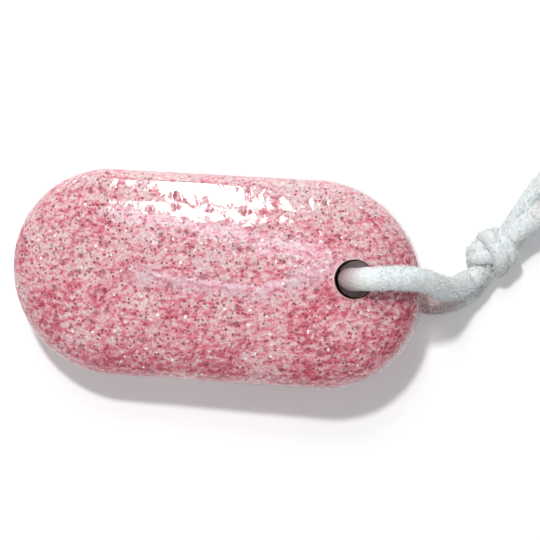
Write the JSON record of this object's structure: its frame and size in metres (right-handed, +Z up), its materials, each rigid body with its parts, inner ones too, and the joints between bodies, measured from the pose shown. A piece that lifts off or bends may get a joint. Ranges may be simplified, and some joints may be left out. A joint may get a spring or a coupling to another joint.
{
  "type": "pumice stone",
  "caption": "Oblong pink pumice foot stone in clear shrink film, drilled at one end, on a knotted white cotton hanging cord.",
  "frame": {"origin": "on the surface that the object lies on, under the middle of the wrapped stone", "axes": "+X along the stone towards its drilled end, +Y across it, +Z up; the stone itself is tilted 3.8 degrees about Y, drilled end up, because one strand of the cord runs under that end"},
  "size_m": [0.177, 0.0675, 0.0328],
  "materials": {
    "pink_pumice": "matte",
    "clear_film": "gloss",
    "cotton_cord": "matte"
  },
  "bodies": {
    "root": {"pumice_stone": "pink_pumice", "shrink_film": "clear_film", "cord_through_stone": "cotton_cord", "cord_knot": "cotton_cord", "cord_hanging_loop": "cotton_cord"}
  },
  "joints": []
}
